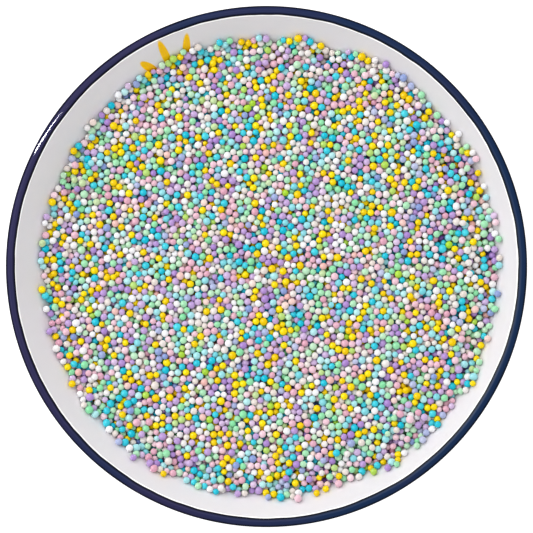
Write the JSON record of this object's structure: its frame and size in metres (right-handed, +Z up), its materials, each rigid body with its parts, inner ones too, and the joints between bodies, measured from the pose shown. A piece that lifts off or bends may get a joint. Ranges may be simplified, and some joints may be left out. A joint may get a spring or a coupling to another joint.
{
  "type": "dish of nonpareils",
  "caption": "Shallow round white enamelled dish with a dark blue rolled rim, filled nearly to the edge with tiny round pastel sugar beads.",
  "frame": {"origin": "centre of the dish's flat underside, on the surface that it stands on", "axes": "+Z up out of the dish, +Y towards the top of the picture, +X to its right"},
  "size_m": [0.15, 0.15, 0.0272],
  "materials": {
    "enamel": "glossy white enamel on steel, with a glossy navy band over the rolled rim",
    "sugar": "satin sugar beads in white, pink, lilac, mint, pale blue, turquoise and yellow"
  },
  "bodies": {
    "root": {"dish": "enamel", "nonpareils": "sugar"}
  },
  "joints": []
}
